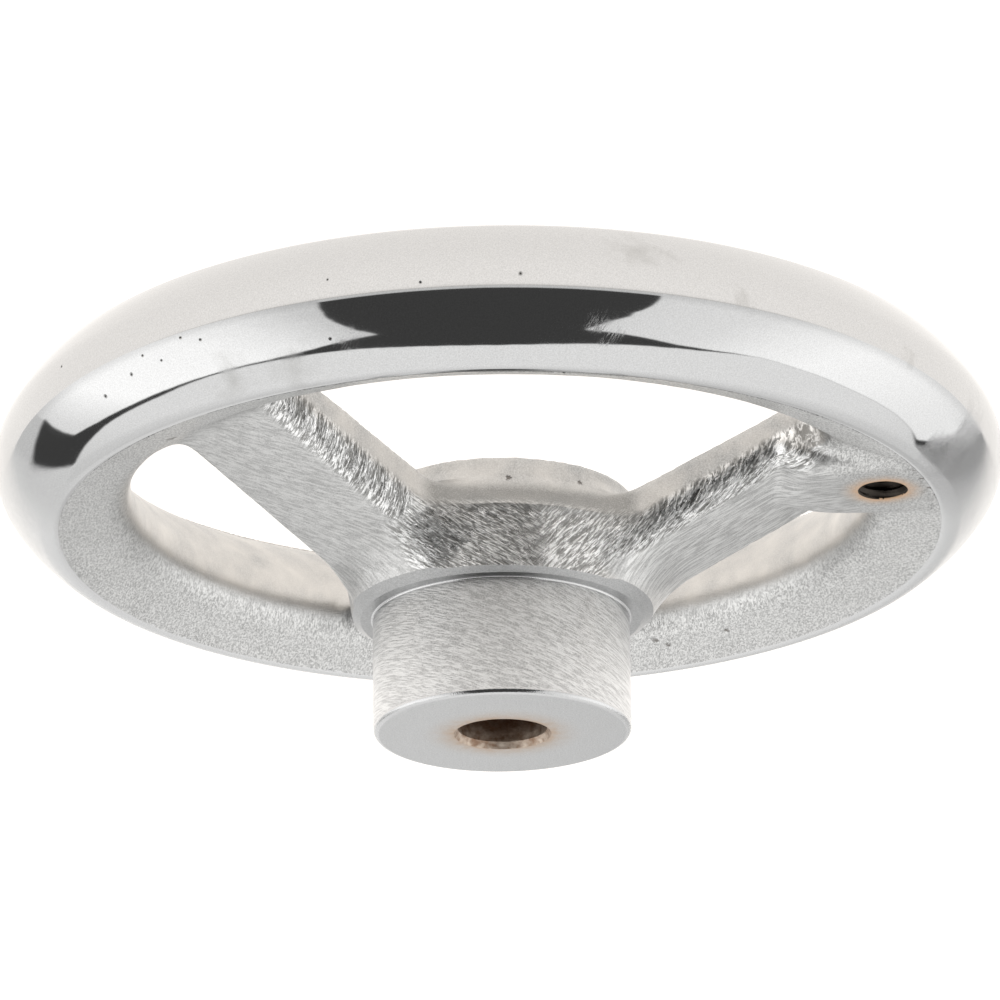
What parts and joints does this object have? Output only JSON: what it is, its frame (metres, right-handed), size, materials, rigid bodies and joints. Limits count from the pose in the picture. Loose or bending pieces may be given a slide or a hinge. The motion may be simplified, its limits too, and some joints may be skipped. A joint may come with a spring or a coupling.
{
  "type": "machine handwheel",
  "caption": "Dished three-spoke cast-iron machine handwheel, chrome plated, with a long turned hub, plain bore and a tapped hole in the rim for a missing handle.",
  "frame": {"origin": "on the bore axis, in the plane the front of the rim rests on", "axes": "+Z along the bore from the rim's front towards the turned hub; +X and +Y in the plane of the rim, the spoke with the tapped hole pointing 197.9 degrees anticlockwise from +X seen from +Z"},
  "size_m": [0.127, 0.127, 0.043],
  "materials": {
    "plated_iron": "worn chrome plate over cast iron: polished rim, satin turned hub, rough as-cast spokes, rust round the holes"
  },
  "bodies": {
    "root": {"handwheel": "plated_iron"}
  },
  "joints": []
}
